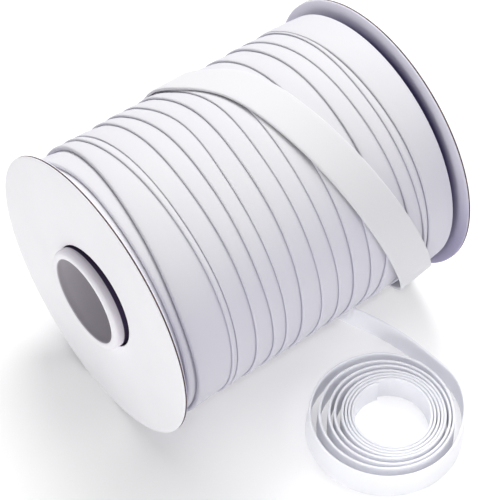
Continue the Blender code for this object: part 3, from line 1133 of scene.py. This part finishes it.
@dataclass
class LooseEnd:
    """The tape's free end: flat under the roll, then up on its edge, and wound into a coil."""

    section: TapeSection = field(default_factory=lambda: TapeSection(0.0098, 0.00085))
    flat_width: float = 0.0100
    # x from the front flange and y from the spool's axis, in millimetres
    line: tuple[tuple[float, float], ...] = (
        (73.6, 6.0),
        (74.4, -3.0),
        (76.6, -14.0),
        (79.8, -25.0),
        (84.0, -34.6),
        (87.2, -43.6),
        (89.4, -53.2),
        (90.4, -61.5),
    )
    line_steps: int = 80
    root_height: float = 0.0021
    root_drops: tuple[float, float] = (0.0010, -0.0120)
    twists: tuple[float, float] = (-0.0070, -0.0310)
    twist_power: float = 1.8
    centre: tuple[float, float] = (0.0648, -0.0711)
    first_angle: float = math.radians(12)
    step: float = math.radians(-3)
    join_radius: float = 0.0270
    settle: float = math.radians(70)
    move_from: float = math.radians(60)
    move_over: float = math.radians(100)
    bulge_towards: float = math.radians(140)
    lean_towards: float = math.radians(-160)
    lean_all_round: float = 0.6
    full_turns: float = 7.85
    # radius of the outer face, bulge to the left, ovalness, and lean of the lower edge, in mm
    turns: tuple[tuple[float, float, float, float], ...] = (
        (24.65, 1.45, 0.30, 1.2),
        (21.65, 1.20, 0.40, 0.6),
        (19.70, 0.25, 0.20, 0.2),
        (17.85, 0.10, 0.35, 0.0),
        (16.45, -0.60, 0.10, 0.0),
        (15.35, -0.60, 0.05, 0.0),
        (14.25, -0.55, 0.00, 0.0),
        (13.20, -0.55, 0.00, 0.0),
    )

    def turn_value(self, angle: np.ndarray, column: int) -> np.ndarray:
        """A turn's value at these unwound angles, moved in by a smooth step where the tail lies on.

        Args:
            angle: unwound angles, falling inwards.
            column: which of the turns' values.

        Returns:
            The values, in metres.
        """
        values = np.array([row[column] for row in self.turns]) * MM
        turned = (self.move_from - angle) / (2 * math.pi)
        turn = np.floor(turned).astype(int)
        share = smooth_step((turned - turn) * 2 * math.pi / self.move_over)
        before = values[np.clip(turn - 1, 0, len(values) - 1)]
        after = values[np.clip(turn, 0, len(values) - 1)]
        return before * (1 - share) + after * share

    def stations(self) -> tuple[np.ndarray, np.ndarray]:
        """The tape's low edge and the way up its width, from under the roll to the coil's inside.

        The coil's radius is the turn's own, plus its bulge times a cosine and its ovalness times the
        cosine of twice the angle.

        Returns:
            Points on the low edge, and unit vectors across the tape.
        """
        line = np.array(self.line) * MM
        known = np.append(0, np.cumsum(np.hypot(*np.diff(line, axis=0).T)))
        at = np.linspace(0, known[-1], self.line_steps)
        x, y = (smooth_curve(at, known, line[:, c]) for c in (0, 1))
        twist = np.clip((self.twists[0] - y) / (self.twists[0] - self.twists[1]), 0, 1)
        tilt = twist**self.twist_power * math.pi / 2
        fallen = smooth_step((self.root_drops[0] - y) / (self.root_drops[0] - self.root_drops[1]))
        resting = self.section.thickness / 2 * np.cos(tilt)
        z = self.root_height * (1 - fallen) + resting * fallen
        steps = int(self.full_turns * 2 * math.pi / -self.step)
        angle = self.first_angle + self.step * np.arange(1, steps + 1)
        settled = smooth_step((self.first_angle - angle) / self.settle)
        radius = self.turn_value(angle, 0)
        radius = radius + self.turn_value(angle, 1) * np.cos(angle - self.bulge_towards)
        radius = radius + self.turn_value(angle, 2) * np.cos(2 * (angle - self.bulge_towards))
        radius = self.join_radius * (1 - settled) + radius * settled - self.section.thickness / 2
        sway = (1 - self.lean_all_round) * np.cos(angle - self.lean_towards)
        lean = self.turn_value(angle, 3) * (self.lean_all_round + sway) * settled
        outwards = np.stack([np.cos(angle), np.sin(angle), 0 * angle], axis=-1)
        coil = np.array([*self.centre, 0.0]) + outwards * (radius + lean)[:, None]
        low = np.concatenate([np.stack([x, y, z], axis=-1), coil])
        heading = np.gradient(low, axis=0) * (1, 1, 0)
        heading /= np.linalg.norm(heading, axis=1)[:, None]
        upright = np.array([0.0, 0.0, 1.0])
        to_the_side = np.cross(upright, heading)[: len(x)]
        tail_up = to_the_side * np.cos(tilt)[:, None] + upright * np.sin(tilt)[:, None]
        tip = np.arcsin(lean / self.section.width)[:, None]
        return low, np.concatenate([tail_up, upright * np.cos(tip) - outwards * np.sin(tip)])

    def surface(self) -> Surface:
        """The tape's section carried along the stations, square to its own direction.

        A point is the low edge's, plus the way up times its place across the tape, plus the way out
        times its height from the tape's middle.

        Returns:
            The loose end's surface, with both ends closed.
        """
        low, up = self.stations()
        heading = np.gradient(low, axis=0)
        heading /= np.linalg.norm(heading, axis=1)[:, None]
        out = np.cross(heading, up)
        across, high = self.section.outline()
        high = high - self.section.thickness / 2
        points = low[:, None] + up[:, None] * across[None, :, None] + out[:, None] * high[None, :, None]
        points[..., 2] = np.maximum(points[..., 2], 0)
        along = np.append(0, np.cumsum(np.linalg.norm(np.diff(low, axis=0), axis=1)))
        lengths = self.section.lengths(along)
        return Surface(points, lengths, {"crease": np.zeros(points.shape[:2])}, closed_ends=True)

    def build(self, finish: bpy.types.Material, roll: bpy.types.Object) -> bpy.types.Object:
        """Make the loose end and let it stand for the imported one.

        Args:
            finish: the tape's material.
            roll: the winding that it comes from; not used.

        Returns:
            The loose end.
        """
        surface = self.surface()
        piece = build_piece("loose_tape_coil", [surface], [finish])
        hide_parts("loose_end")
        return piece


@dataclass
class Studio:
    """The floor, the soft lights and the camera."""

    azimuth: float = 0.652
    elevation: float = 0.893
    distance: float = 12.73
    aim_right: float = -0.998
    aim_up: float = -0.299
    focal_pixels: float = 1998.0
    frame_pixels: float = 500.0
    sensor: float = 36.0
    clip: tuple[float, float] = (0.01, 20.0)
    floor_size: float = 6.0
    sky: Triple = (0.94, 0.93, 1.0)
    sky_strength: float = 0.26
    # each square light's name, place, side in metres and power in watts
    softboxes: tuple[tuple[str, Triple, float, float], ...] = (
        ("back_softbox", (0.50, 0.70, 1.15), 0.7, 14.8),
        ("top_softbox", (0.30, 0.05, 1.30), 1.0, 5.8),
        ("front_fill", (0.80, -1.10, 0.60), 0.7, 4.8),
        ("end_fill", (-1.30, -0.40, 0.30), 0.5, 5.4),
    )
    roll_middle: Triple = (0.0, 0.0, 0.03)
    spot_place: Triple = (-0.423, -0.485, 0.911)
    spot_aim: Triple = (0.010, -0.045, 0.0)
    spot_power: float = 19.0
    spot_cone: float = math.radians(7)
    spot_radius: float = 0.06

    def build_floor(self) -> None:
        """A wide flat floor, which isn't part of the object."""
        half = self.floor_size / 2
        mesh = bpy.data.meshes.new("pale_floor")
        corners = [(-half, -half, 0), (half, -half, 0), (half, half, 0), (-half, half, 0)]
        mesh.from_pydata(corners, [], [(0, 1, 2, 3)])
        mesh.materials.append(FloorFinish().make("pale_floor"))
        floor = add_to_scene("pale_floor", mesh)

    def add_light(self, name: str, at: Sequence[float], size: float, power: float) -> None:
        """A square soft light that looks at the roll.

        Args:
            name: the light's name.
            at: its place.
            size: its side.
            power: its power in watts.
        """
        light = bpy.data.lights.new(name, "AREA")
        light.shape = "SQUARE"
        light.size = size
        light.energy = power
        self.hang(light, at, self.roll_middle)

    def add_spot(self) -> None:
        """A narrow soft-edged spot on the coil."""
        light = bpy.data.lights.new("coil_spot", "SPOT")
        light.spot_size = self.spot_cone
        light.spot_blend = 1.0
        light.shadow_soft_size = self.spot_radius
        light.energy = self.spot_power
        self.hang(light, self.spot_place, self.spot_aim)

    def hang(self, light: bpy.types.Light, at: Sequence[float], to: Sequence[float]) -> None:
        """Place a light and turn it to look at a point.

        Args:
            light: the light.
            at: its place.
            to: the point that it looks at.
        """
        lamp = add_to_scene(light.name, light)
        aim = np.array(to) - np.array(at)
        aim /= np.linalg.norm(aim)
        side = np.cross(aim, (0.0, 0.0, 1.0))
        side /= np.linalg.norm(side)
        turned = np.stack([side, np.cross(side, aim), -aim], axis=1)
        lamp.matrix_world = Matrix.Translation(at) @ Matrix(turned.tolist()).to_4x4()

    def build_lights(self) -> None:
        """An even sky, two large lights above, two low fills and a spot on the coil."""
        world = bpy.data.worlds.new("studio_sky")
        world.use_nodes = True
        background = world.node_tree.nodes["Background"]
        background.inputs["Color"].default_value = (*self.sky, 1.0)
        background.inputs["Strength"].default_value = self.sky_strength
        bpy.context.scene.world = world
        bpy.context.scene.view_settings.view_transform = "Standard"
        for name, at, size, power in self.softboxes:
            self.add_light(name, at, size, power)
        self.add_spot()

    def build_camera(self) -> None:
        """A camera that looks back along its azimuth and elevation, in flange radii from the hub.

        The aim is moved right and up in the picture's own plane, and the lens gives the focal length
        in picture points.
        """
        a, e = self.azimuth, self.elevation
        forward = np.array([math.sin(a) * math.cos(e), math.cos(a) * math.cos(e), -math.sin(e)])
        right = np.array([math.cos(a), -math.sin(a), 0.0])
        up = np.cross(right, forward)
        hub = PLACE + (0.0, 0.0, AXIS_HEIGHT)
        away = -forward * self.distance - right * self.aim_right - up * self.aim_up
        turned = np.stack([right, up, -forward], axis=1)
        camera = bpy.data.cameras.new("photo_camera")
        camera.lens = self.focal_pixels / self.frame_pixels * self.sensor
        camera.sensor_width = self.sensor
        camera.clip_start, camera.clip_end = self.clip
        eye = add_to_scene("photo_camera", camera)
        place = Matrix.Translation((hub + away * FLANGE_RADIUS).tolist())
        eye.matrix_world = place @ Matrix(turned.tolist()).to_4x4()
        bpy.context.scene.camera = eye


def main() -> None:
    """Build the stage and every piece."""
    logging.basicConfig(level=logging.INFO, format="%(name)s: %(message)s")
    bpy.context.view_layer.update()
    studio = Studio()
    studio.build_camera()
    studio.build_lights()
    studio.build_floor()
    tape = TapeFinish().make("white_bias_tape")
    coiled = COILED_TAPE_PAINTED_BRIGHTER.make("coiled_bias_tape_painted_brighter")
    crossing = CROSSING_TAPE_PAINTED_BRIGHTER.make("crossing_bias_tape_painted_brighter")
    layers = LayerFinish().make("tape_layers")
    board = BoardFinish().make("white_faced_board")
    tube = TubeFinish().make("white_tube")
    CoreTube().build(tube)
    for end in SpoolEnd:
        Flange(end).build(board)
    winding = WoundTape().build(tape, layers)
    CrossingTurn().build(crossing, winding)
    LooseEnd().build(coiled, winding)
    bpy.context.view_layer.update()


if __name__ == "__main__":
    main()
